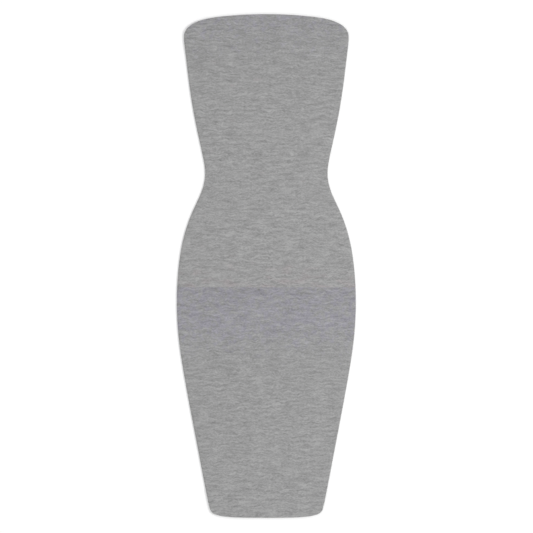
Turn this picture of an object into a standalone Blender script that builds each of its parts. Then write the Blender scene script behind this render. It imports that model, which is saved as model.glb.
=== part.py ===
"""A strapless jersey dress, fitted from bust to knee, laid flat on a surface with its front up.

The frame is in metres: +Z up from the surface, +Y towards the neckline and +X across. The
origin is on the surface under the middle of the dress. Two panels are cut to the same side
seams. The back lies on the surface and the front lies on the back, and each is one wall of
cloth, a little thicker where its top and bottom edges are turned in.
"""

import math

import bmesh
import bpy
import numpy as np

# The cloth
CLOTH = 0.0012  # thickness of one layer
SEAM_GAP = 0.0003  # clearance between the panels along the side seams
JERSEY_GREY = (0.33, 0.33, 0.335, 1.0)

# The cut
LENGTH = 1.000  # from the top of the neckline to the lowest point of the hem
BACK_NECK_DROP = 0.008  # how far the middle of the back's top edge sits below the front's

# The edges that are turned in: how deep, and what the second layer adds once it is pressed
NECK_TURNING = 0.014
HEM_TURNING = 0.022
TURNING_LOFT = 0.0005

# The side seam, level by level
SIDE_SEAM = (
    # level, distance below the top of the neckline, half width of the dress
    ("neckline", 0.000, 0.1671),
    ("neck turning", 0.020, 0.1659),
    ("underarm", 0.047, 0.1639),
    ("upper bust", 0.090, 0.1591),
    ("under the bust", 0.160, 0.1501),
    ("ribs", 0.235, 0.1363),
    ("above the waist", 0.285, 0.1254),
    ("waist", 0.315, 0.1215),
    ("below the waist", 0.345, 0.1261),
    ("high hip", 0.390, 0.1456),
    ("hip bone", 0.440, 0.1633),
    ("low hip", 0.500, 0.1739),
    ("seat", 0.570, 0.1777),
    ("upper thigh", 0.640, 0.1743),
    ("thigh", 0.710, 0.1643),
    ("above the knee", 0.800, 0.1479),
    ("knee", 0.900, 0.1289),
    ("hem turning", 0.970, 0.1151),
    ("hem", 1.000, 0.1087),
)

# The top and bottom edges: an arch with rounded corners, each corner a superellipse
# drop of the arch at the sides, share of the half width that is rounded, depth, roundness
NECK_EDGE = {"arch": 0.0165, "reach": 0.466, "depth": 0.0358, "power": 2.89}
HEM_EDGE = {"arch": 0.0021, "reach": 1.0, "depth": 0.0262, "power": 5.1}

# How the front lies: it rolls up from the side seams, and has a few soft swells of air
ROLL_HEIGHT = 0.0012
ROLL_WIDTH = 0.010
SWELL_FADE = 0.045  # a swell dies out over this distance from a side seam
SWELLS = (
    # place, across, below the neckline, half length, half width, turn in degrees, height
    ("left bust", -0.068, 0.120, 0.078, 0.040, 24.0, 0.0009),
    ("right bust", 0.060, 0.158, 0.082, 0.036, -17.0, 0.0008),
    ("left of the waist", -0.034, 0.288, 0.070, 0.020, 9.0, 0.0008),
    ("right of the waist", 0.040, 0.333, 0.060, 0.018, -12.0, 0.0007),
    ("left hip", -0.085, 0.470, 0.085, 0.045, -28.0, 0.0008),
    ("right hip", 0.080, 0.545, 0.090, 0.042, 20.0, 0.0009),
    ("left knee", -0.030, 0.790, 0.060, 0.120, 6.0, 0.0007),
    ("right knee", 0.040, 0.880, 0.045, 0.090, -8.0, 0.0006),
)

# The mesh: columns bunched towards the side seams, and rows in each gap of the table
COLUMNS = 22
ROWS_PER_GAP = 3


def clear_scene():
    for old in list(bpy.data.objects):
        bpy.data.objects.remove(old, do_unlink=True)


def jersey_material():
    jersey = bpy.data.materials.new("grey_marl_jersey")
    jersey.use_nodes = True
    surface = jersey.node_tree.nodes["Principled BSDF"]
    surface.inputs["Base Color"].default_value = JERSEY_GREY
    surface.inputs["Roughness"].default_value = 0.9
    surface.inputs["Metallic"].default_value = 0.0
    return jersey


def natural_spline(places, values):
    """A function that runs smoothly through the values: the natural cubic spline."""
    gaps = np.diff(places)
    count = len(places)
    matrix = np.eye(count)
    bends = np.zeros(count)
    slopes = np.diff(values) / gaps
    for i in range(1, count - 1):
        matrix[i, i - 1 : i + 2] = gaps[i - 1], 2 * (gaps[i - 1] + gaps[i]), gaps[i]
        bends[i] = 6 * (slopes[i] - slopes[i - 1])
    bends = np.linalg.solve(matrix, bends)

    def at(place):
        i = int(np.clip(np.searchsorted(places, place) - 1, 0, count - 2))
        before = (places[i + 1] - place) / gaps[i]
        after = 1 - before
        straight = before * values[i] + after * values[i + 1]
        curve = (before**3 - before) * bends[i] + (after**3 - after) * bends[i + 1]
        return float(straight + curve * gaps[i] ** 2 / 6)

    return at


LEVELS = np.array([down for _, down, _ in SIDE_SEAM])
half_width = natural_spline(LEVELS, np.array([half for _, _, half in SIDE_SEAM]))


def edge_drop(across, edge):
    """How far an edge has fallen from its middle; across runs from -1 to 1, seam to seam."""
    corner = max(0.0, (abs(across) - 1 + edge["reach"]) / edge["reach"])
    rounding = 1 - max(0.0, 1 - corner ** edge["power"]) ** (1 / edge["power"])
    return edge["arch"] * across**2 + edge["depth"] * rounding


def smooth_step(value):
    held = min(1.0, max(0.0, value))
    return held * held * (3 - 2 * held)


def turning(from_neck, from_hem):
    """1 in the turned edges and 0 in the single cloth, easing over half a turning."""
    at_neck = smooth_step((1.5 * NECK_TURNING - from_neck) / (0.5 * NECK_TURNING))
    at_hem = smooth_step((1.5 * HEM_TURNING - from_hem) / (0.5 * HEM_TURNING))
    return max(at_neck, at_hem)


def swell_height(x, down):
    """The air under the front, away from its seams."""
    total = 0.0
    for _, across, below, half_length, half_breadth, turn, height in SWELLS:
        angle = math.radians(turn)
        east, south = x - across, down - below
        along = east * math.cos(angle) + south * math.sin(angle)
        beside = south * math.cos(angle) - east * math.sin(angle)
        total += height * math.exp(-((along / half_length) ** 2) - (beside / half_breadth) ** 2)
    return total


def front_lift(x, down, from_seam):
    """How far the front stands off the back: a quarter round at the seams, then the swells."""
    inwards = min(1.0, from_seam / ROLL_WIDTH)
    roll = ROLL_HEIGHT * math.sqrt(1 - (1 - inwards) ** 2)
    return roll + smooth_step(from_seam / SWELL_FADE) * swell_height(x, down)


def rows_of_the_panel():
    """Each row's place from the neckline, 0, to the hem, 1."""
    rows = [0.0]
    for start, end in zip(LEVELS[:-1], LEVELS[1:]):
        steps = np.linspace(start, end, ROWS_PER_GAP + 1)[1:]
        rows.extend((steps / LENGTH).tolist())
    return rows


def columns_of_the_panel():
    """Each column's place across, -1 to 1, closest together at the seams."""
    return [-math.cos(math.pi * i / COLUMNS) for i in range(COLUMNS + 1)]


def make_panel(name, neck_drop, lower_face, material):
    """One panel: its lower face as a grid of points, then the cloth's thickness above it."""
    rows, columns = rows_of_the_panel(), columns_of_the_panel()
    shape = bmesh.new()
    turned = shape.verts.layers.deform.verify()
    grid = []
    for row in rows:
        line = []
        for across in columns:
            top = edge_drop(across, NECK_EDGE) + neck_drop * (1 - across**2)
            bottom = LENGTH - edge_drop(across, HEM_EDGE)
            down = top + row * (bottom - top)
            reach = half_width(down)
            edges = (down - top, bottom - down, (1 - abs(across)) * reach)
            height = lower_face(across * reach, down, *edges)
            point = shape.verts.new((across * reach, LENGTH / 2 - down, height))
            point[turned][0] = turning(edges[0], edges[1])
            line.append(point)
        grid.append(line)
    for upper, lower in zip(grid[:-1], grid[1:]):
        for i in range(COLUMNS):
            shape.faces.new((lower[i], lower[i + 1], upper[i + 1], upper[i]))
    mesh = bpy.data.meshes.new(name)
    shape.to_mesh(mesh)
    shape.free()
    panel = bpy.data.objects.new(name, mesh)
    bpy.context.scene.collection.objects.link(panel)
    panel.vertex_groups.new(name="turned edges")
    mesh.materials.append(material)
    mesh.shade_smooth()
    wall = panel.modifiers.new("cloth", "SOLIDIFY")
    wall.thickness = CLOTH + TURNING_LOFT
    wall.offset = 1.0
    wall.vertex_group = "turned edges"
    wall.thickness_vertex_group = CLOTH / (CLOTH + TURNING_LOFT)
    return panel


def back_lower_face(x, down, from_neck, from_hem, from_seam):
    """The back rests on the surface all over."""
    return 0.0


def front_lower_face(x, down, from_neck, from_hem, from_seam):
    """The front lies on the back, and rides up over the back's turned edges."""
    back = CLOTH + TURNING_LOFT * turning(from_neck - BACK_NECK_DROP, from_hem)
    return back + SEAM_GAP + front_lift(x, down, from_seam)


clear_scene()
grey_jersey = jersey_material()
make_panel("back_panel", BACK_NECK_DROP, back_lower_face, grey_jersey)
make_panel("front_panel", 0.0, front_lower_face, grey_jersey)
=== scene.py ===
# %% [markdown]
# # A strapless jersey dress, laid flat
#
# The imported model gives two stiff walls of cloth, a front lying on a back, cut to one
# pair of side seams. This script dresses them: soft panels with rolled edges, the
# sewing that holds them together, and the grey marl jersey that they are cut from.
# Everything is in metres. +Z is up from the surface and +Y runs towards the neckline.

import math

import bpy
import numpy as np
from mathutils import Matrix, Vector, noise


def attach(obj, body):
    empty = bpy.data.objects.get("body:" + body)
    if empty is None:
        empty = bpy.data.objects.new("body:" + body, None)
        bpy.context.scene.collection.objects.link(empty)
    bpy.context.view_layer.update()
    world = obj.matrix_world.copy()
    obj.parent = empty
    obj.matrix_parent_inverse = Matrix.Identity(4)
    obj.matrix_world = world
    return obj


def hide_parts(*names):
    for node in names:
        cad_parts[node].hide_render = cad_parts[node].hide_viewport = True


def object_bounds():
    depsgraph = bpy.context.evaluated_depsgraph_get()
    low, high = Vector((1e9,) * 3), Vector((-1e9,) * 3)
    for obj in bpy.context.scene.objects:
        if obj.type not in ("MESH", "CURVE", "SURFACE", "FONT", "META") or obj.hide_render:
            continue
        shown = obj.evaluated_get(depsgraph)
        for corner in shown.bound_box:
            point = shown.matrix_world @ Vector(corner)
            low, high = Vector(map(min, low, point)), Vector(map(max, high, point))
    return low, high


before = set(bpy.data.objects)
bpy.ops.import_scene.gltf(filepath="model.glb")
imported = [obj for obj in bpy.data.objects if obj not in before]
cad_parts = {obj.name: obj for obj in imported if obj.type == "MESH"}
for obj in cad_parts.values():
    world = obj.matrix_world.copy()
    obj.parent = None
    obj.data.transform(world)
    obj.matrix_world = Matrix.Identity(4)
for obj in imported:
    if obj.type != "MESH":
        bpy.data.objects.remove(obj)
cad_low, cad_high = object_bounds()
print("nodes:", sorted(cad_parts), "box:", cad_low, cad_high)

# %% [markdown]
# ## The camera
#
# The photograph is a cut-out with no vanishing point, so the camera hangs high above
# the dress and looks straight down through a long lens. Its height follows from the
# size of the frame at the cloth: 533 pixels at the dress's own scale.

# %% Hang the camera over the dress
PHOTO_SIDE = 533  # pixels
DRESS_LENGTH = 1.000
DRESS_LENGTH_PIXELS = 503.7
MIDDLE_OF_DRESS_PIXELS = (266.35, 266.0)  # across and down the photograph
LONG_LENS = 135.0  # millimetres
SENSOR = 36.0

PIXEL = DRESS_LENGTH / DRESS_LENGTH_PIXELS
frame_middle = PHOTO_SIDE / 2

camera_data = bpy.data.cameras.new("overhead camera")
camera_data.lens = LONG_LENS
camera_data.sensor_width = SENSOR
camera_data.clip_end = 50.0
camera = bpy.data.objects.new("overhead camera", camera_data)
camera.location = (
    (frame_middle - MIDDLE_OF_DRESS_PIXELS[0]) * PIXEL,
    (MIDDLE_OF_DRESS_PIXELS[1] - frame_middle) * PIXEL,
    cad_high.z + PHOTO_SIDE * PIXEL * LONG_LENS / SENSOR,
)
bpy.context.scene.collection.objects.link(camera)
bpy.context.scene.camera = camera
print("camera height", round(camera.location.z, 3), "one pixel is", round(PIXEL * 1000, 3), "mm")

# %% [markdown]
# ## Nodes by name
#
# Materials, the world and the sewing are all node trees. One helper adds a node and
# fills its inputs, each with a value or with the socket that feeds it, and sets the
# nodes out in columns so that a tree can be read in the editor.

# %% Helpers for node trees
NODES_IN_A_COLUMN = 6


def add(tree, kind, inputs=None, **settings):
    """A new node; inputs maps a socket's name or number to a value or to another socket."""
    node = tree.nodes.new(kind)
    place = len(tree.nodes) - 1
    node.location = (220 * (place // NODES_IN_A_COLUMN), -200 * (place % NODES_IN_A_COLUMN))
    for name, value in settings.items():
        setattr(node, name, value)
    for name, value in (inputs or {}).items():
        if isinstance(value, bpy.types.NodeSocket):
            tree.links.new(value, node.inputs[name])
        else:
            node.inputs[name].default_value = value
    return node


def sum_up(tree, operation, *values):
    """A Math node's result."""
    given = dict(enumerate(values))
    return add(tree, "ShaderNodeMath", given, operation=operation).outputs[0]


def new_group(name, kind, inputs, outputs):
    """An empty node group with named sockets: each is (name, type, value or None)."""
    group = bpy.data.node_groups.new(name, kind)
    for way, sockets in (("INPUT", inputs), ("OUTPUT", outputs)):
        for label, socket_type, value in sockets:
            socket = group.interface.new_socket(name=label, in_out=way, socket_type=socket_type)
            if value is not None:
                socket.default_value = value
    start = add(group, "NodeGroupInput").outputs
    end = add(group, "NodeGroupOutput").inputs
    return group, start, end


# %% [markdown]
# ## The floor and the light
#
# A pale floor and soft studio light from all round leave almost no shadow under five
# millimetres of cloth, which is how the cut-out looks. One soft lamp stands to the
# right: the photograph's cloth is a little lighter on that side, and light that comes
# in from one side lets the slight swells of the cloth show.

# %% Lay the floor and light it
FLOOR_SIZE = 14.0
FLOOR_GAP = 0.0003
FLOOR_WHITE = (0.95, 0.95, 0.95, 1.0)
SKY_STRENGTH = 0.91
LAMP_POWER = 29.5
LAMP_SIZE = 1.2
LAMP_PLACE = (2.0, 0.0, 2.1)


def make_floor():
    half = FLOOR_SIZE / 2
    corners = [(-half, -half, 0), (half, -half, 0), (half, half, 0), (-half, half, 0)]
    mesh = bpy.data.meshes.new("floor")
    mesh.from_pydata([(x, y, -FLOOR_GAP) for x, y, _ in corners], [], [(0, 1, 2, 3)])
    paint = bpy.data.materials.new("pale floor")
    paint.use_nodes = True
    surface = paint.node_tree.nodes["Principled BSDF"]
    surface.inputs["Base Color"].default_value = FLOOR_WHITE
    surface.inputs["Roughness"].default_value = 1.0
    surface.inputs["Specular IOR Level"].default_value = 0.0
    mesh.materials.append(paint)
    floor = bpy.data.objects.new("floor", mesh)
    bpy.context.scene.collection.objects.link(floor)
    return floor


def make_light():
    sky = bpy.data.worlds.new("white studio")
    sky.use_nodes = True
    background = sky.node_tree.nodes["Background"]
    background.inputs["Color"].default_value = (1.0, 1.0, 1.0, 1.0)
    background.inputs["Strength"].default_value = SKY_STRENGTH
    bpy.context.scene.world = sky
    lamp_data = bpy.data.lights.new("soft lamp", "AREA")
    lamp_data.energy = LAMP_POWER
    lamp_data.size = LAMP_SIZE
    lamp = bpy.data.objects.new("soft lamp", lamp_data)
    lamp.location = LAMP_PLACE
    lamp.rotation_mode = "QUATERNION"
    lamp.rotation_quaternion = (-lamp.location).to_track_quat("-Z", "Y")
    bpy.context.scene.collection.objects.link(lamp)


make_floor()
make_light()
bpy.context.scene.view_settings.view_transform = "Standard"
print("floor", FLOOR_SIZE, "m across, lamp at", LAMP_PLACE)

# %% [markdown]
# ## The cut
#
# A fitted jersey dress needs no darts: its shape is in two side seams. A short table
# gives the half width at each level of the body, and a natural cubic spline runs
# through it, as a long batten bent round pins would. The neckline and the hem are
# arches whose corners are rounded by a superellipse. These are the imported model's own
# sizes.

# %% The side seams and the two edges
SIDE_SEAM = (
    # level, distance below the top of the neckline, half width of the dress
    ("neckline", 0.000, 0.1671),
    ("neck turning", 0.020, 0.1659),
    ("underarm", 0.047, 0.1639),
    ("upper bust", 0.090, 0.1591),
    ("under the bust", 0.160, 0.1501),
    ("ribs", 0.235, 0.1363),
    ("above the waist", 0.285, 0.1254),
    ("waist", 0.315, 0.1215),
    ("below the waist", 0.345, 0.1261),
    ("high hip", 0.390, 0.1456),
    ("hip bone", 0.440, 0.1633),
    ("low hip", 0.500, 0.1739),
    ("seat", 0.570, 0.1777),
    ("upper thigh", 0.640, 0.1743),
    ("thigh", 0.710, 0.1643),
    ("above the knee", 0.800, 0.1479),
    ("knee", 0.900, 0.1289),
    ("hem turning", 0.970, 0.1151),
    ("hem", 1.000, 0.1087),
)
NECK_EDGE = {"arch": 0.0165, "reach": 0.466, "depth": 0.0358, "power": 2.89}
HEM_EDGE = {"arch": 0.0021, "reach": 1.0, "depth": 0.0262, "power": 5.1}
BACK_NECK_DROP = 0.008


def natural_spline(places, values):
    """A function that runs smoothly through the values: the natural cubic spline."""
    gaps = np.diff(places)
    slopes = np.diff(values) / gaps
    count = len(places)
    matrix = np.eye(count)
    bends = np.zeros(count)
    for i in range(1, count - 1):
        matrix[i, i - 1 : i + 2] = gaps[i - 1], 2 * (gaps[i - 1] + gaps[i]), gaps[i]
        bends[i] = 6 * (slopes[i] - slopes[i - 1])
    bends = np.linalg.solve(matrix, bends)

    def at(place):
        i = np.clip(np.searchsorted(places, place) - 1, 0, count - 2)
        before = (places[i + 1] - place) / gaps[i]
        after = 1 - before
        straight = before * values[i] + after * values[i + 1]
        curve = (before**3 - before) * bends[i] + (after**3 - after) * bends[i + 1]
        return straight + curve * gaps[i] ** 2 / 6

    return at


half_width = natural_spline(
    np.array([down for _, down, _ in SIDE_SEAM]),
    np.array([half for _, _, half in SIDE_SEAM]),
)


def edge_drop(across, edge):
    """How far an edge has fallen from its middle; across is -1 to 1, seam to seam."""
    corner = np.clip((np.abs(across) - 1 + edge["reach"]) / edge["reach"], 0, 1)
    rounding = 1 - np.clip(1 - corner ** edge["power"], 0, 1) ** (1 / edge["power"])
    return edge["arch"] * across**2 + edge["depth"] * rounding


for level, down, _ in SIDE_SEAM[2::5]:
    print(f"{level}: {2000 * half_width(down):.0f} mm across, laid flat")

# %% [markdown]
# ## Distance from an edge
#
# Turnings and stitch rows keep one distance from the edge that they follow, also round
# the corners, so that distance is measured square to the edge. Each edge is drawn once
# as a line of close points, and the nearest piece of that line gives the distance.

# %% Measure from the neckline and the hem
EDGE_POINTS = 241


def edge_line(edge, at_hem):
    """The neckline or the hem as points (x, down), from the left seam to the right one."""
    across = np.sin(np.linspace(-math.pi / 2, math.pi / 2, EDGE_POINTS))
    fallen = edge_drop(across, edge)
    down = DRESS_LENGTH - fallen if at_hem else fallen
    return np.column_stack([across * half_width(down), down])


def distance_to(line, x, down):
    """The shortest distance from each point to the line, worked out piece by piece."""
    nearest = np.full(x.shape, np.inf)
    for start, end in zip(line[:-1], line[1:]):
        step = end - start
        along = ((x - start[0]) * step[0] + (down - start[1]) * step[1]) / (step @ step)
        along = np.clip(along, 0, 1)
        gap = np.hypot(x - start[0] - along * step[0], down - start[1] - along * step[1])
        nearest = np.minimum(nearest, gap)
    return nearest


def line_length(line):
    return np.linalg.norm(np.diff(line, axis=0), axis=1).sum()


neck_line = edge_line(NECK_EDGE, at_hem=False)
hem_line = edge_line(HEM_EDGE, at_hem=True)
print(f"neckline {line_length(neck_line):.3f} m, hem {line_length(hem_line):.3f} m, laid flat")

# %% [markdown]
# ## How the cloth lies
#
# Laid out on a table, the back is pressed flat and the front rests on it with a little
# air between: it rolls up from each side seam and swells softly where the body was. The
# neckline and the hem are turned in once, which makes them thicker and stiff enough to
# stay level past the back's edge. Height is worked out for whole arrays of points.

# %% Heights of the two panels
CLOTH = 0.0012  # thickness of one layer
RIM = CLOTH / 2  # how far a panel's rounded rim reaches out
SEAM_GAP = 0.0001
NECK_TURNING = 0.014
HEM_TURNING = 0.022
TURNING_LOFT = 0.0005
ROLL_HEIGHT = 0.0012
ROLL_WIDTH = 0.010
SWELL_FADE = 0.045
SWELLS = (
    # place, across, below the neckline, half length, half width, turn in degrees, height
    ("left bust", -0.068, 0.120, 0.078, 0.040, 24.0, 0.0009),
    ("right bust", 0.060, 0.158, 0.082, 0.036, -17.0, 0.0008),
    ("left of the waist", -0.034, 0.288, 0.070, 0.020, 9.0, 0.0008),
    ("right of the waist", 0.040, 0.333, 0.060, 0.018, -12.0, 0.0007),
    ("left hip", -0.085, 0.470, 0.085, 0.045, -28.0, 0.0008),
    ("right hip", 0.080, 0.545, 0.090, 0.042, 20.0, 0.0009),
    ("left knee", -0.030, 0.790, 0.060, 0.120, 6.0, 0.0007),
    ("right knee", 0.040, 0.880, 0.045, 0.090, -8.0, 0.0006),
)
WAVES = (
    # size, waves per metre across and along the dress, layer of the noise, height
    ("broad", 22, 16, 3.0, 0.00045),
    ("close", 75, 60, 9.0, 0.00008),
)


def smooth_step(value):
    held = np.clip(value, 0, 1)
    return held * held * (3 - 2 * held)


def turning(from_neck, from_hem):
    """1 in the turned edges and 0 in the single cloth, easing over half a turning."""
    at_neck = smooth_step((1.5 * NECK_TURNING - from_neck) / (0.5 * NECK_TURNING))
    at_hem = smooth_step((1.5 * HEM_TURNING - from_hem) / (0.5 * HEM_TURNING))
    return np.maximum(at_neck, at_hem)


def swell_height(x, down):
    total = np.zeros_like(x)
    for _, across, below, half_length, half_breadth, turn, height in SWELLS:
        angle = math.radians(turn)
        east, south = x - across, down - below
        along = east * math.cos(angle) + south * math.sin(angle)
        beside = south * math.cos(angle) - east * math.sin(angle)
        total += height * np.exp(-((along / half_length) ** 2) - (beside / half_breadth) ** 2)
    return total


def front_lift(x, down, from_seam):
    """How far the front stands off the back."""
    inwards = np.clip(from_seam / ROLL_WIDTH, 0, 1)
    roll = ROLL_HEIGHT * np.sqrt(1 - (1 - inwards) ** 2)
    return roll + smooth_step(from_seam / SWELL_FADE) * swell_height(x, down)


def unevenness(x, down):
    """Two scales of slight waviness, as cloth has after it is smoothed by hand."""
    total = 0.0
    for _, across, along, layer, height in WAVES:
        waves = [noise.noise(Vector((a * across, b * along, layer))) for a, b in zip(x.flat, down.flat)]
        total = total + height * np.array(waves)
    return total.reshape(x.shape)


def thickness(x, down, neck_drop):
    """Single cloth, and a little more where an edge is turned in."""
    from_neck = distance_to(neck_line, x, down - neck_drop)
    from_hem = distance_to(hem_line, x, down)
    return CLOTH + TURNING_LOFT * turning(from_neck, from_hem)


def back_heights(x, down):
    """The back's lower and upper skin: it rests on the surface all over."""
    return np.zeros_like(x), thickness(x, down, BACK_NECK_DROP)


def front_heights(x, down):
    """The front's lower and upper skin: it lies on the back."""
    from_seam = np.maximum(half_width(down) - RIM - np.abs(x), 0)
    loose = smooth_step(from_seam / ROLL_WIDTH) * unevenness(x, down)
    lower = back_heights(x, down)[1] + SEAM_GAP + front_lift(x, down, from_seam) + loose
    return lower, lower + thickness(x, down, 0.0)


middle = front_heights(np.zeros(3), np.array([0.10, 0.315, 0.60]))[1]
print("height of the front at bust, waist and hips:", np.round(1000 * middle, 1), "mm")

# %% [markdown]
# ## A panel as a wall of cloth
#
# A sheet of paper has sharp edges and cloth doesn't. Each panel is an upper and a
# lower skin over one grid of points, joined by a rounded rim, so that the edge is
# as soft as a folded one. The grid is drawn closer together near the seams and edges,
# where the cloth bends most.

# %% The grid of a panel
COLUMNS = 84
ROWS = 230
BUNCHING_ACROSS = 0.80
BUNCHING_DOWN = 0.72
RIM_STEPS = 6
RIM_SQUARENESS = 0.6  # 1 is a half circle, and less is fuller, like pressed cloth


def panel_grid(neck_drop):
    """Two arrays, row by row: x, and the distance below the top of the neckline."""
    even = np.linspace(-1, 1, COLUMNS + 1)
    across = (1 - BUNCHING_ACROSS) * even + BUNCHING_ACROSS * np.sin(even * math.pi / 2)
    steps = np.linspace(0, 1, ROWS + 1)
    rows = steps - BUNCHING_DOWN * np.sin(2 * math.pi * steps) / (2 * math.pi)
    across, rows = np.meshgrid(across, rows)
    top = edge_drop(across, NECK_EDGE) + neck_drop * (1 - across**2) + RIM
    bottom = DRESS_LENGTH - edge_drop(across, HEM_EDGE) - RIM
    down = top + rows * (bottom - top)
    return across * (half_width(down) - RIM), down


print("grid:", COLUMNS, "by", ROWS, "cells in each skin of a panel")


# %% [markdown]
# The rim runs round the grid's border. At each border point the way out is square to
# the border, and the rim's points swing from the lower skin to the upper one on a curve
# a little fuller than half a circle. All faces are wound to point outwards. Each point
# also keeps its distance from the neckline and from the hem as attributes, so that the
# material can sink the cloth along the stitch rows.

# %% Close the skins into a wall


def border_of(rows, columns):
    """The grid's border as (row, column) pairs, anticlockwise seen from above."""
    left = [(i, 0) for i in range(rows - 1)]
    hem = [(rows - 1, j) for j in range(columns - 1)]
    right = [(i, columns - 1) for i in range(rows - 1, 0, -1)]
    neck = [(0, j) for j in range(columns - 1, 0, -1)]
    return left + hem + right + neck


def cloth_wall(name, neck_drop, heights, upper_finish, lower_finish):
    x, down = panel_grid(neck_drop)
    lower, upper = heights(x, down)
    rows, columns = x.shape
    y = DRESS_LENGTH / 2 - down
    skin = rows * columns
    points = [np.column_stack([x.ravel(), y.ravel(), z.ravel()]) for z in (lower, upper)]
    border = np.array(border_of(rows, columns))
    index = border[:, 0] * columns + border[:, 1]
    base, top = points[0][index], points[1][index]
    ahead = np.roll(base, -1, axis=0) - np.roll(base, 1, axis=0)
    out = np.column_stack([ahead[:, 1], -ahead[:, 0], np.zeros(len(ahead))])
    out /= np.linalg.norm(out, axis=1, keepdims=True)
    middle, half = (base + top) / 2, (top - base) / 2
    for step in range(1, RIM_STEPS):
        angle = math.pi * step / RIM_STEPS - math.pi / 2
        bulge = RIM * math.cos(angle) ** RIM_SQUARENESS
        points.append(middle + half * math.sin(angle) + out * bulge)
    faces, finishes = [], []
    for i in range(rows - 1):
        for j in range(columns - 1):
            a, b = i * columns + j, (i + 1) * columns + j
            faces.append((skin + b, skin + b + 1, skin + a + 1, skin + a))
            faces.append((a, a + 1, b + 1, b))
            finishes += [0, 1]
    count = len(border)
    rings = [index] + [2 * skin + k * count + np.arange(count) for k in range(RIM_STEPS - 1)]
    rings.append(skin + index)
    for low, high in zip(rings[:-1], rings[1:]):
        for i in range(count):
            j = (i + 1) % count
            faces.append((int(low[i]), int(low[j]), int(high[j]), int(high[i])))
            finishes.append(0 if upper_finish.name.endswith("face") else 1)
    points = np.vstack(points)
    mesh = bpy.data.meshes.new(name)
    mesh.from_pydata(points.tolist(), [], faces)
    mesh.materials.append(upper_finish)
    mesh.materials.append(lower_finish)
    mesh.polygons.foreach_set("material_index", finishes)
    x, down = points[:, 0], DRESS_LENGTH / 2 - points[:, 1]
    for label, line, drop in (("from neck", neck_line, neck_drop), ("from hem", hem_line, 0.0)):
        kept = mesh.attributes.new(label, "FLOAT", "POINT")
        kept.data.foreach_set("value", distance_to(line, x, down - drop))
    mesh.shade_smooth()
    mesh.update()
    panel = bpy.data.objects.new(name, mesh)
    bpy.context.scene.collection.objects.link(panel)
    print(name, len(mesh.polygons), "faces,", len(mesh.vertices), "points")
    return panel


# %% [markdown]
# Both panels come from that one function. The back lies face down, so its upper skin is
# the jersey's reverse, and the front lies face up. Their materials are only named here
# and get their nodes further down.

# %% Make the two panels
jersey_face = bpy.data.materials.new("grey marl jersey, face")
jersey_reverse = bpy.data.materials.new("grey marl jersey, reverse")
back_cloth = cloth_wall("back_cloth", BACK_NECK_DROP, back_heights, jersey_reverse, jersey_face)
front_cloth = cloth_wall("front_cloth", 0.0, front_heights, jersey_face, jersey_reverse)

# %% [markdown]
# ## The sewing
#
# Jersey is hemmed with a twin needle, which leaves two close rows of short stitches on
# the right side, and its side seams are sewn through both layers. All of it is one
# rule, the same stitch over and over along a path, so a Geometry Nodes tree does it.
# The tree walks each path at an even pitch, bends a bit of thread into a shallow arch
# and sets it down along the path. The thread matches the cloth, so from the
# photograph's distance it disappears. The underside rests flat, so it has no raised
# thread: there the material alone shows the rows.

# %% The stitch tree
THREAD = 0.00026  # thickness


def make_stitch_tree():
    group, given, result = new_group(
        "stitches along a path",
        "GeometryNodeTree",
        [
            ("Path", "NodeSocketGeometry", None),
            ("Pitch", "NodeSocketFloat", 0.003),
            ("Start", "NodeSocketVector", None),
            ("Middle", "NodeSocketVector", None),
            ("End", "NodeSocketVector", None),
            ("Thread", "NodeSocketFloat", THREAD),
            ("Material", "NodeSocketMaterial", None),
        ],
        [("Stitches", "NodeSocketGeometry", None)],
    )
    path = add(group, "GeometryNodeMeshToCurve", {"Mesh": given["Path"]})
    walk = add(group, "GeometryNodeResampleCurve", mode="LENGTH")
    group.links.new(path.outputs[0], walk.inputs["Curve"])
    group.links.new(given["Pitch"], walk.inputs["Length"])
    bend = add(
        group,
        "GeometryNodeCurveQuadraticBezier",
        {"Resolution": 6, "Start": given["Start"], "Middle": given["Middle"], "End": given["End"]},
    )
    radius = sum_up(group, "DIVIDE", given["Thread"], 2.0)
    profile = add(group, "GeometryNodeCurvePrimitiveCircle", {"Resolution": 6})
    group.links.new(radius, profile.inputs["Radius"])
    stitch = add(
        group,
        "GeometryNodeCurveToMesh",
        {"Curve": bend.outputs[0], "Profile Curve": profile.outputs[0], "Fill Caps": True},
    )
    ahead = add(group, "GeometryNodeInputTangent")
    turn = add(group, "FunctionNodeAlignRotationToVector", {"Vector": ahead.outputs[0]}, axis="X")
    turn.pivot_axis = "Z"
    sewn = add(
        group,
        "GeometryNodeInstanceOnPoints",
        {"Points": walk.outputs[0], "Instance": stitch.outputs[0], "Rotation": turn.outputs[0]},
    )
    real = add(group, "GeometryNodeRealizeInstances", {"Geometry": sewn.outputs[0]})
    smooth = add(group, "GeometryNodeSetShadeSmooth", {"Geometry": real.outputs[0]})
    finished = add(
        group,
        "GeometryNodeSetMaterial",
        {"Geometry": smooth.outputs[0], "Material": given["Material"]},
    )
    group.links.new(finished.outputs[0], result["Stitches"])
    return group


stitch_tree = make_stitch_tree()


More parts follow.
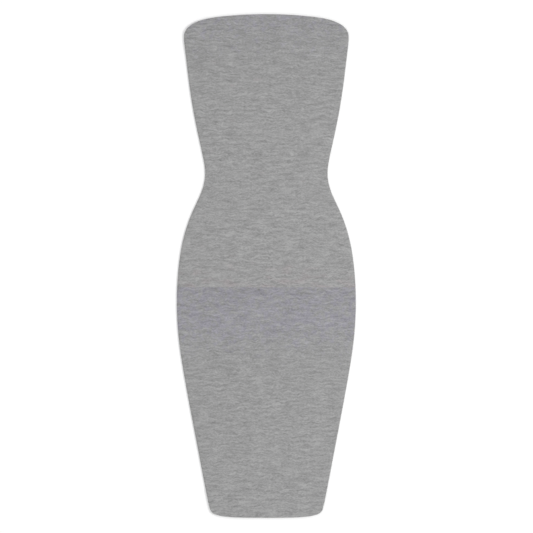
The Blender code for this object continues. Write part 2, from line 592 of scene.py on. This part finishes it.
def sew(name, paths, material, **sizes):
    """Runs the stitch tree along lines of points and keeps the result as a plain mesh."""
    points, edges = [], []
    for path in paths:
        first = len(points)
        points += [tuple(float(value) for value in point) for point in path]
        edges += [(i, i + 1) for i in range(first, len(points) - 1)]
    mesh = bpy.data.meshes.new(name)
    mesh.from_pydata(points, edges, [])
    line = bpy.data.objects.new(name, mesh)
    bpy.context.scene.collection.objects.link(line)
    sewing = line.modifiers.new("sewing", "NODES")
    sewing.node_group = stitch_tree
    sockets = {item.name: item.identifier for item in stitch_tree.interface.items_tree
               if item.in_out == "INPUT"}
    sewing[sockets["Material"]] = material
    for label, value in sizes.items():
        sewing[sockets[label]] = value
    graph = bpy.context.evaluated_depsgraph_get()
    sewn = bpy.data.meshes.new_from_object(line.evaluated_get(graph))
    line.modifiers.remove(sewing)
    line.data = sewn
    print(name, len(sewn.polygons), "faces")
    return line


# %% [markdown]
# The twin rows run a little inside each turning, at a fixed distance from the edge, and
# stop just short of the side seams. Each row is the edge's own line moved inwards and
# then lifted onto the cloth. Along the side seams short bars of thread cross the gap
# between the two layers and hold them together.

# %% Sew the dress
NECK_ROWS = (0.0085, 0.0125)  # distances from the neckline
HEM_ROWS = (0.0165, 0.0205)  # distances from the hem
ROW_PITCH = 0.0032
ROW_STITCH = 0.0025
ROW_SUNK = 0.00012  # the thread bites into the cloth by this much
ROW_ENDS_BEFORE_SEAM = 0.003
SEAM_PITCH = 0.0022
SEAM_BITE = 0.0005
SEAM_STARTS = 0.034  # above the hem's lowest point
SEAM_STOPS = 0.060  # below the top of the neckline
SEAM_POINTS = 320


def edge_row(line, inwards, side):
    """The line moved inwards: side is +1 for the neckline and -1 for the hem."""
    ahead = np.gradient(line, axis=0)
    ahead /= np.linalg.norm(ahead, axis=1, keepdims=True)
    row = line + side * inwards * np.column_stack([-ahead[:, 1], ahead[:, 0]])
    inside = half_width(row[:, 1]) - np.abs(row[:, 0]) > ROW_ENDS_BEFORE_SEAM
    x, down = row[inside].T
    height = front_heights(x, down)[1] - ROW_SUNK + THREAD / 2
    return np.column_stack([x, DRESS_LENGTH / 2 - down, height])


def seam_row(side):
    """Up one side seam, halfway between the two layers, on the cloth's rim."""
    down = np.linspace(DRESS_LENGTH - SEAM_STARTS, SEAM_STOPS, SEAM_POINTS)
    down = down if side > 0 else down[::-1]
    x = side * (half_width(down) - SEAM_BITE)
    height = np.full_like(x, CLOTH + SEAM_GAP / 2)
    return np.column_stack([x, DRESS_LENGTH / 2 - down, height])


thread = bpy.data.materials.new("matching thread")
rows = [edge_row(neck_line, inwards, 1) for inwards in NECK_ROWS]
rows += [edge_row(hem_line, inwards, -1) for inwards in HEM_ROWS]
edge_stitches = sew(
    "edge_stitches", rows, thread, Pitch=ROW_PITCH,
    Start=(-ROW_STITCH / 2, 0.0, -THREAD),
    Middle=(0.0, 0.0, THREAD),
    End=(ROW_STITCH / 2, 0.0, -THREAD),
)
seam_stitches = sew(
    "seam_stitches", [seam_row(-1), seam_row(1)], thread, Pitch=SEAM_PITCH,
    Start=(-0.0007, 0.0, -0.0006), Middle=(0.0, -0.0010, 0.0), End=(0.0007, 0.0, 0.0006),
)

# %% [markdown]
# ## Marl
#
# Marl yarn is spun from light and dark fibres together. Knitted, it shows as short
# streaks along the courses, two to four millimetres high and five to thirty long. The
# group adds three sizes of noise, each stretched sideways, and lets them drift up and
# down, as the courses of a soft cloth do. It gives a value about zero. From close by
# each course of loops shows as one yarn with its own dark and light lengths, so the
# group also adds a noise that jumps from course to course. That one is too fine for the
# photograph, where several courses share a pixel.

# %% The marl group
MARL_LAYERS = (
    # what, cells per metre across, cells per metre along the dress, strength
    ("specks", 245.0, 560.0, 0.80),
    ("short streaks", 105.0, 290.0, 0.54),
    ("long streaks", 34.0, 225.0, 0.90),
)
MARL_DRIFT = 0.0115  # the streaks wander up and down within this height
MARL_DRIFT_CELLS = 57.0
YARN_CELLS = 240.0  # per metre along a yarn
YARN_STRENGTH = 0.75


def make_marl_group():
    group, given, result = new_group(
        "marl streaks",
        "ShaderNodeTree",
        [
            ("Vector", "NodeSocketVector", None),
            ("Course", "NodeSocketFloat", 0.0),
            ("Drift", "NodeSocketFloat", MARL_DRIFT),
        ],
        [("Streak", "NodeSocketFloat", None)],
    )
    drift = add(
        group,
        "ShaderNodeTexNoise",
        {"Vector": given["Vector"], "Scale": MARL_DRIFT_CELLS, "Detail": 1.0},
    )
    sway = sum_up(group, "SUBTRACT", drift.outputs["Fac"], 0.5)
    sway = sum_up(group, "MULTIPLY", sway, given["Drift"])
    sway = add(group, "ShaderNodeCombineXYZ", {"Y": sway}).outputs[0]
    place = add(group, "ShaderNodeVectorMath", {0: given["Vector"], 1: sway}, operation="ADD")
    total = 0.0
    for _, across, along, strength in MARL_LAYERS:
        stretched = add(
            group,
            "ShaderNodeVectorMath",
            {0: place.outputs[0], 1: (across, along, along)},
            operation="MULTIPLY",
        )
        layer = add(
            group,
            "ShaderNodeTexNoise",
            {"Vector": stretched.outputs[0], "Scale": 1.0, "Detail": 2.5},
        )
        centred = sum_up(group, "SUBTRACT", layer.outputs["Fac"], 0.5)
        total = sum_up(group, "MULTIPLY_ADD", centred, strength, total)
    across = add(group, "ShaderNodeSeparateXYZ", {0: given["Vector"]}).outputs["X"]
    across = sum_up(group, "MULTIPLY", across, YARN_CELLS)
    yarn = sum_up(group, "MULTIPLY", given["Course"], 7.3)
    yarn = add(group, "ShaderNodeCombineXYZ", {"X": across, "Y": yarn}).outputs[0]
    yarn = add(group, "ShaderNodeTexNoise", {"Vector": yarn, "Scale": 1.0, "Detail": 2.0})
    yarn = sum_up(group, "SUBTRACT", yarn.outputs["Fac"], 0.5)
    total = sum_up(group, "MULTIPLY_ADD", yarn, YARN_STRENGTH, total)
    group.links.new(total, result["Streak"])
    return group


marl_group = make_marl_group()
print("marl layers:", [what for what, *_ in MARL_LAYERS])

# %% [markdown]
# ## Dye
#
# The cloth's tone isn't even. It starts a little darker at the neckline and clears as
# it runs down, then starts dark again at the hips, where the shade repeats in one
# level line. Faint violet patches lie in the dark starts, thickly below the hips' line
# and thinly below the neckline, and a few rosy flecks lie just above the line. It is
# colour alone, so nothing of it is raised. Patches are noise that is cut off at a
# threshold: the lower the threshold, the more of the cloth they cover.

# %% The dye group
SHADE_REPEAT = 0.5423  # below the top of the neckline
SHADE_LENGTH = 0.129  # the darker start fades over this distance
DARKER_AT_NECK = 0.086
DARKER_AT_HIPS = 0.106
VIOLET = (0.998, 0.977, 1.100, 1.0)
ROSE = (1.035, 0.972, 0.985, 1.0)
PATCH_CELLS = 115.0
PATCH_EDGE = (-0.07, 0.14)  # a patch fades in between these, about its threshold
# distance since the shade's start, threshold of the patches: at the neckline and at the hips
VIOLET_AT_NECK = ((0.010, 0.52), (0.070, 0.62), (0.130, 0.82))
VIOLET_AT_HIPS = ((0.075, 0.445), (0.130, 0.63), (0.200, 0.90))
ROSE_AT_HIPS = ((0.475, 0.74), (0.535, 0.53))


def ramp(tree, value, points):
    """A value that runs straight from point to point of a table, and holds at its ends."""
    total = points[0][1]
    for (start, low), (end, high) in zip(points[:-1], points[1:]):
        piece = add(tree, "ShaderNodeMapRange", {0: value, 1: start, 2: end, 3: 0.0, 4: high - low})
        total = sum_up(tree, "ADD", piece.outputs[0], total)
    return total


def patches(tree, noise_value, threshold):
    """0 below the threshold and 1 above it, with a soft edge."""
    start = sum_up(tree, "ADD", threshold, PATCH_EDGE[0])
    end = sum_up(tree, "ADD", threshold, PATCH_EDGE[1])
    return add(tree, "ShaderNodeMapRange", {0: noise_value, 1: start, 2: end}).outputs[0]


def make_dye_group():
    group, given, result = new_group(
        "dye tone",
        "ShaderNodeTree",
        [("Vector", "NodeSocketVector", None), ("Colour", "NodeSocketColor", (0.3, 0.3, 0.3, 1.0))],
        [("Colour", "NodeSocketColor", None)],
    )
    place = add(group, "ShaderNodeSeparateXYZ", {0: given["Vector"]}).outputs
    below = sum_up(group, "SUBTRACT", DRESS_LENGTH / 2, place["Y"])
    second = sum_up(group, "GREATER_THAN", below, SHADE_REPEAT)
    since = sum_up(group, "MULTIPLY_ADD", second, -SHADE_REPEAT, below)
    fade = sum_up(group, "DIVIDE", since, -SHADE_LENGTH)
    fade = sum_up(group, "EXPONENT", fade)
    darker = sum_up(group, "MULTIPLY_ADD", second, DARKER_AT_HIPS - DARKER_AT_NECK, DARKER_AT_NECK)
    tone = sum_up(group, "SUBTRACT", 1.0, sum_up(group, "MULTIPLY", fade, darker))
    mottle = add(
        group,
        "ShaderNodeTexNoise",
        {"Vector": given["Vector"], "Scale": PATCH_CELLS, "Detail": 3.0, "Roughness": 0.6},
    ).outputs["Fac"]
    at_neck = ramp(group, since, VIOLET_AT_NECK)
    at_hips = ramp(group, since, VIOLET_AT_HIPS)
    threshold = add(group, "ShaderNodeMix", {0: second, 2: at_neck, 3: at_hips}).outputs[0]
    violet = patches(group, mottle, threshold)
    rosy_place = add(
        group, "ShaderNodeVectorMath", {0: given["Vector"], 1: (34.0, 85.0, 34.0)}, operation="MULTIPLY"
    )
    rosy = add(
        group, "ShaderNodeTexNoise", {"Vector": rosy_place.outputs[0], "Scale": 1.0, "Detail": 2.0}
    ).outputs["Fac"]
    first = sum_up(group, "SUBTRACT", 1.0, second)
    rose = patches(group, rosy, ramp(group, since, ROSE_AT_HIPS))
    rose = sum_up(group, "MULTIPLY", rose, first)
    colour = given["Colour"]
    for share, tint in ((violet, VIOLET), (rose, ROSE)):
        colour = add(
            group,
            "ShaderNodeMix",
            {0: share, 6: colour, 7: tint},
            data_type="RGBA",
            blend_type="MULTIPLY",
        ).outputs[2]
    toned = add(group, "ShaderNodeVectorMath", {0: colour, 3: tone}, operation="SCALE")
    group.links.new(toned.outputs[0], result["Colour"])
    return group


dye_group = make_dye_group()
print("shade repeats", SHADE_REPEAT, "m below the neckline")

# %% [markdown]
# ## Jersey loops
#
# Seen close, the face of jersey is columns of small Vs, one for each loop of yarn, and
# its reverse is rows of purl bumps. Each V is two slanting legs: the height rises and
# falls along the leg and across it. The group also says which course, or row, a V is
# in, so that each yarn can have its own tone. The reverse has the group turned
# sideways for its bumps.

# %% The loop group
WALE = 0.00078  # width of one column of loops
COURSE = 0.00062  # height of one row of loops


def make_loop_group():
    group, given, result = new_group(
        "jersey loops",
        "ShaderNodeTree",
        [
            ("Vector", "NodeSocketVector", None),
            ("Wale", "NodeSocketFloat", WALE),
            ("Course", "NodeSocketFloat", COURSE),
        ],
        [("Height", "NodeSocketFloat", None), ("Course", "NodeSocketFloat", None)],
    )
    place = add(group, "ShaderNodeSeparateXYZ", {0: given["Vector"]}).outputs
    wale = sum_up(group, "DIVIDE", place["X"], given["Wale"])
    course = sum_up(group, "DIVIDE", place["Y"], given["Course"])
    from_middle = sum_up(group, "ABSOLUTE", sum_up(group, "SUBTRACT", sum_up(group, "FRACT", wale), 0.5))
    slant = sum_up(group, "MULTIPLY_ADD", from_middle, -1.7, course)
    along_leg = sum_up(group, "SINE", sum_up(group, "MULTIPLY", sum_up(group, "FRACT", slant), math.pi))
    leg = sum_up(group, "FRACT", sum_up(group, "MULTIPLY", wale, 2.0))
    across_leg = sum_up(group, "SINE", sum_up(group, "MULTIPLY", leg, math.pi))
    height = sum_up(group, "MULTIPLY", along_leg, across_leg)
    group.links.new(sum_up(group, "SQRT", height), result["Height"])
    group.links.new(sum_up(group, "FLOOR", slant), result["Course"])
    return group


loop_group = make_loop_group()
print("loops:", round(0.01 / WALE), "by", round(0.01 / COURSE), "to the centimetre")

# %% [markdown]
# ## Sewn edges
#
# A stitch row pulls the cloth down into a shallow groove, too fine for the mesh. It
# follows the distances that were kept on the panels' points. The group adds up one soft
# dip for each row and gives a height. The turning itself is already in the panels'
# thickness.

# %% The sewn edge group
GROOVE_WIDTH = 0.0009
STITCH_ROWS = (("From neck", NECK_ROWS), ("From hem", HEM_ROWS))


def make_edge_group():
    group, given, result = new_group(
        "sewn edges",
        "ShaderNodeTree",
        [("From neck", "NodeSocketFloat", 1.0), ("From hem", "NodeSocketFloat", 1.0)],
        [("Height", "NodeSocketFloat", None)],
    )
    total = 1.0
    for label, rows_from_edge in STITCH_ROWS:
        for inwards in rows_from_edge:
            away = sum_up(group, "SUBTRACT", given[label], inwards)
            away = sum_up(group, "DIVIDE", away, GROOVE_WIDTH)
            away = sum_up(group, "MULTIPLY", away, away)
            dip = sum_up(group, "EXPONENT", sum_up(group, "MULTIPLY", away, -1.0))
            total = sum_up(group, "SUBTRACT", total, dip)
    group.links.new(total, result["Height"])
    return group


edge_group = make_edge_group()
print("stitch rows:", NECK_ROWS, "from the neckline and", HEM_ROWS, "from the hem")

# %% [markdown]
# ## The two sides of the jersey
#
# Both sides share the marl, the dye and the loops. Cotton jersey is matt with a faint
# bloom at low angles, from the ends of its fibres, so the shader has a rough surface,
# very little gloss and some sheen. The reverse is a shade flatter and more open. The
# relief adds up in a chain of Bump nodes, each with its real height: the sewn edges,
# then the streaks of thick and thin yarn, then the loops.

# %% Finish the jersey
MARL_GREY = (0.296, 0.296, 0.296, 1.0)
MARL_CONTRAST = 0.86
# painted shade: the hollows between the loops are coloured darker by this share
PAINTED_LOOP_SHADE = 0.16  # how much darker the hollows between the loops are
EDGE_RELIEF = 0.00012
MARL_RELIEF = 0.00010
LOOP_RELIEF = 0.00020


def group_node(tree, group, inputs):
    node = add(tree, "ShaderNodeGroup", node_tree=group)
    for name, value in inputs.items():
        if isinstance(value, bpy.types.NodeSocket):
            tree.links.new(value, node.inputs[name])
        else:
            node.inputs[name].default_value = value
    return node


def finish_jersey(jersey, contrast, loop_turn):
    jersey.use_nodes = True
    tree = jersey.node_tree
    surface = tree.nodes["Principled BSDF"]
    place = add(tree, "ShaderNodeTexCoord").outputs["Object"]
    course = group_node(tree, loop_group, {"Vector": place}).outputs["Course"]
    streak = group_node(tree, marl_group, {"Vector": place, "Course": course}).outputs["Streak"]
    dyed = group_node(tree, dye_group, {"Vector": place, "Colour": MARL_GREY}).outputs["Colour"]
    turned = add(tree, "ShaderNodeMapping", {"Vector": place})
    turned.inputs["Rotation"].default_value = (0.0, 0.0, loop_turn)
    loops = group_node(tree, loop_group, {"Vector": turned.outputs[0]}).outputs["Height"]
    # the marl streaks are the yarn's own tone; the loops add painted shade, darker in their hollows
    shade = sum_up(tree, "MULTIPLY_ADD", streak, contrast, 1.0 - PAINTED_LOOP_SHADE / 2)
    shade = sum_up(tree, "MULTIPLY_ADD", loops, PAINTED_LOOP_SHADE, shade)
    colour = add(tree, "ShaderNodeVectorMath", {0: dyed, 3: shade}, operation="SCALE").outputs[0]
    tree.links.new(colour, surface.inputs["Base Color"])
    roughness = sum_up(tree, "MULTIPLY_ADD", streak, 0.15, 0.88)
    tree.links.new(roughness, surface.inputs["Roughness"])
    kept = {
        label: add(tree, "ShaderNodeAttribute", attribute_name=label.lower()).outputs["Fac"]
        for label, _ in STITCH_ROWS
    }
    sewn = group_node(tree, edge_group, kept).outputs["Height"]
    normal = None
    for height, relief in ((sewn, EDGE_RELIEF), (streak, MARL_RELIEF), (loops, LOOP_RELIEF)):
        bump = add(tree, "ShaderNodeBump", {"Height": height, "Distance": relief, "Strength": 0.6})
        if normal:
            tree.links.new(normal, bump.inputs["Normal"])
        normal = bump.outputs[0]
    tree.links.new(normal, surface.inputs["Normal"])
    surface.inputs["Specular IOR Level"].default_value = 0.18
    surface.inputs["Sheen Weight"].default_value = 0.12
    surface.inputs["Sheen Roughness"].default_value = 0.45


finish_jersey(jersey_face, MARL_CONTRAST, loop_turn=0.0)
finish_jersey(jersey_reverse, 0.8 * MARL_CONTRAST, loop_turn=math.pi / 2)
print("finished", jersey_face.name, "and", jersey_reverse.name)

# %% [markdown]
# ## The thread
#
# Polyester sewing thread is smoother than the cloth and has a slight shine. Its two
# plies twist round each other, which a fine slanting wave gives, as bumps and as painted
# shade that darkens the grooves between the plies. The dye group gives it the tone of
# the cloth round it.

# %% Finish the thread
PLY = 0.0006  # length of one twist
THREAD_GREY = (0.300, 0.300, 0.302, 1.0)


def finish_thread(material):
    material.use_nodes = True
    tree = material.node_tree
    surface = tree.nodes["Principled BSDF"]
    place = add(tree, "ShaderNodeTexCoord").outputs["Object"]
    dyed = group_node(tree, dye_group, {"Vector": place, "Colour": THREAD_GREY}).outputs["Colour"]
    twist = add(
        tree,
        "ShaderNodeTexWave",
        {"Vector": place, "Scale": 1 / PLY / math.tau, "Distortion": 0.6},
        bands_direction="DIAGONAL",
    ).outputs["Fac"]
    # painted shade: the twist wave darkens the thread in the grooves between the plies
    shade = sum_up(tree, "MULTIPLY_ADD", twist, 0.24, 0.88)
    colour = add(tree, "ShaderNodeVectorMath", {0: dyed, 3: shade}, operation="SCALE").outputs[0]
    tree.links.new(colour, surface.inputs["Base Color"])
    roughness = sum_up(tree, "MULTIPLY_ADD", twist, -0.12, 0.62)
    tree.links.new(roughness, surface.inputs["Roughness"])
    plies = add(tree, "ShaderNodeBump", {"Height": twist, "Distance": THREAD / 5, "Strength": 0.6})
    tree.links.new(plies.outputs[0], surface.inputs["Normal"])
    surface.inputs["Specular IOR Level"].default_value = 0.35


finish_thread(thread)
print("finished", thread.name)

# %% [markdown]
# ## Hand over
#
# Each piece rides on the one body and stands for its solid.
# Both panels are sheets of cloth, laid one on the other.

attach(back_cloth, "root")
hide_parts("back_panel")
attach(front_cloth, "root")
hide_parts("front_panel")
for stitches in (edge_stitches, seam_stitches):
    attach(stitches, "root")
